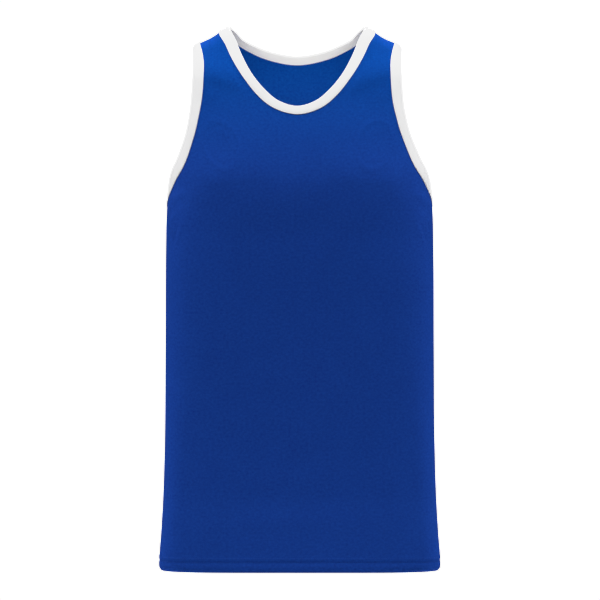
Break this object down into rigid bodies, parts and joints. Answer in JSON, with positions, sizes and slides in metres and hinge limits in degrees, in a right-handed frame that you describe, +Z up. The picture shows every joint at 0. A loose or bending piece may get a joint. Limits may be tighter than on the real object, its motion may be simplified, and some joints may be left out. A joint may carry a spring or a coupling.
{
  "type": "basketball jersey",
  "caption": "Sleeveless basketball jersey, filled out as worn, with scoop neck, folded bindings round neck and armholes, and a turned-up hem.",
  "frame": {"origin": "midway between the two straps, at the height at which they rest on the wearer's shoulders", "axes": "+Z up from the hem to the shoulders, -Y towards the front of the garment, +X towards the wearer's left"},
  "size_m": [0.4052, 0.2352, 0.7739],
  "materials": {
    "body_knit": "fine polyester knit, matt with a soft sheen",
    "binding_knit": "fine white polyester knit, matt"
  },
  "bodies": {
    "root": {"front_panel": "body_knit", "back_panel": "body_knit", "neck_binding": "binding_knit", "armhole_binding_left": "binding_knit", "armhole_binding_right": "binding_knit"}
  },
  "joints": []
}
